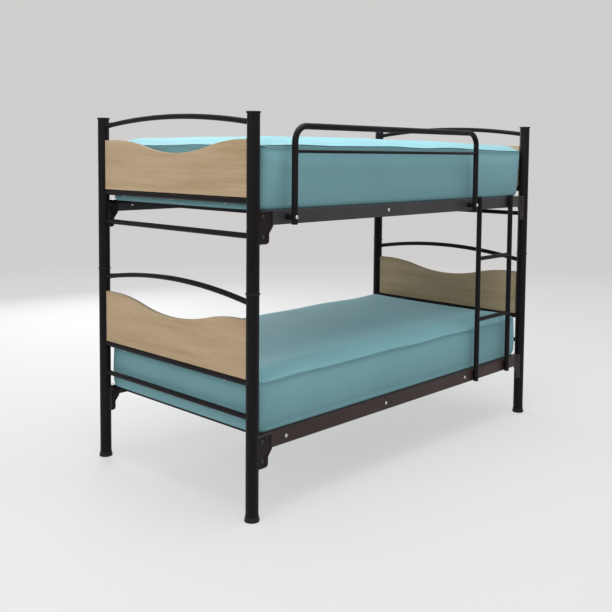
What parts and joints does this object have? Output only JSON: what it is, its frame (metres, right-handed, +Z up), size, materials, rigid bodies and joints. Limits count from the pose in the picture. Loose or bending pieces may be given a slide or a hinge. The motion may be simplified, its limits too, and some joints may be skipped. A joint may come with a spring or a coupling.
{
  "type": "bunk bed",
  "caption": "Steel tube bunk bed with wavy wooden end panels, arched end rails, a bolted guard rail, a hook-on ladder and thick mattresses on slats.",
  "frame": {"origin": "on the floor, at the middle of the whole bed's box", "axes": "+X along the bed towards the ladder end, +Y from the guard rail side to the back, +Z up"},
  "size_m": [2.009, 1.0935, 1.542],
  "materials": {
    "frame_steel": "satin black powder coat",
    "rail_steel": "satin brownish black powder coat",
    "beech_board": "light beech laminate, satin",
    "mattress_fabric": "smooth turquoise mattress cover",
    "foot_plastic": "matt black plastic",
    "cap_plastic": "matt black plastic",
    "zinc_bolts": "zinc plated",
    "black_bolts": "black coated bolts and nuts, with a dull shine"
  },
  "bodies": {
    "lower_bunk": {"foot_back_left": "foot_plastic", "foot_back_right": "foot_plastic", "foot_front_left": "foot_plastic", "foot_front_right": "foot_plastic", "joint_collars": "cap_plastic", "lower_arch_left": "frame_steel", "lower_arch_right": "frame_steel", "lower_crossbar_left": "frame_steel", "lower_crossbar_right": "frame_steel", "lower_end_bolts": "black_bolts", "lower_panel_bar_left": "frame_steel", "lower_panel_bar_right": "frame_steel", "lower_panel_left": "beech_board", "lower_panel_right": "beech_board", "lower_panel_screws": "zinc_bolts", "lower_post_back_left": "frame_steel", "lower_post_back_right": "frame_steel", "lower_post_brackets": "rail_steel", "lower_post_front_left": "frame_steel", "lower_post_front_right": "frame_steel", "lower_rail_back": "rail_steel", "lower_rail_bolts": "zinc_bolts", "lower_rail_end_plates": "rail_steel", "lower_rail_front": "rail_steel", "lower_slats": "frame_steel", "stacking_spigots": "frame_steel"},
    "upper_bunk": {"guard_rail_bar": "frame_steel", "guard_rail_bolts": "zinc_bolts", "guard_rail_spacers": "frame_steel", "guard_rail_tube": "frame_steel", "post_caps": "cap_plastic", "upper_arch_left": "frame_steel", "upper_arch_right": "frame_steel", "upper_crossbar_left": "frame_steel", "upper_crossbar_right": "frame_steel", "upper_end_bolts": "black_bolts", "upper_panel_bar_left": "frame_steel", "upper_panel_bar_right": "frame_steel", "upper_panel_left": "beech_board", "upper_panel_right": "beech_board", "upper_panel_screws": "zinc_bolts", "upper_post_back_left": "frame_steel", "upper_post_back_right": "frame_steel", "upper_post_brackets": "rail_steel", "upper_post_front_left": "frame_steel", "upper_post_front_right": "frame_steel", "upper_rail_back": "rail_steel", "upper_rail_bolts": "zinc_bolts", "upper_rail_end_plates": "rail_steel", "upper_rail_front": "rail_steel", "upper_slats": "frame_steel"},
    "ladder": {"ladder_end_plugs": "cap_plastic", "ladder_hooks": "frame_steel", "ladder_rung_1": "frame_steel", "ladder_rung_2": "frame_steel", "ladder_stile_left": "frame_steel", "ladder_stile_right": "frame_steel"},
    "upper_mattress": {"upper_mattress": "mattress_fabric"},
    "lower_mattress": {"lower_mattress": "mattress_fabric"}
  },
  "joints": [
    {"name": "upper_bunk_lift", "type": "slide", "parent": "lower_bunk", "child": "upper_bunk", "axis": [0, 0, 1], "range_m": [0, 0.12]},
    {"name": "ladder_lift", "type": "slide", "parent": "upper_bunk", "child": "ladder", "axis": [0, 0, 1], "range_m": [0, 0.06]},
    {"name": "upper_mattress_lift", "type": "slide", "parent": "upper_bunk", "child": "upper_mattress", "axis": [0, 0, 1], "range_m": [0, 0.4]},
    {"name": "lower_mattress_lift", "type": "slide", "parent": "lower_bunk", "child": "lower_mattress", "axis": [0, 0, 1], "range_m": [0, 0.35]}
  ]
}
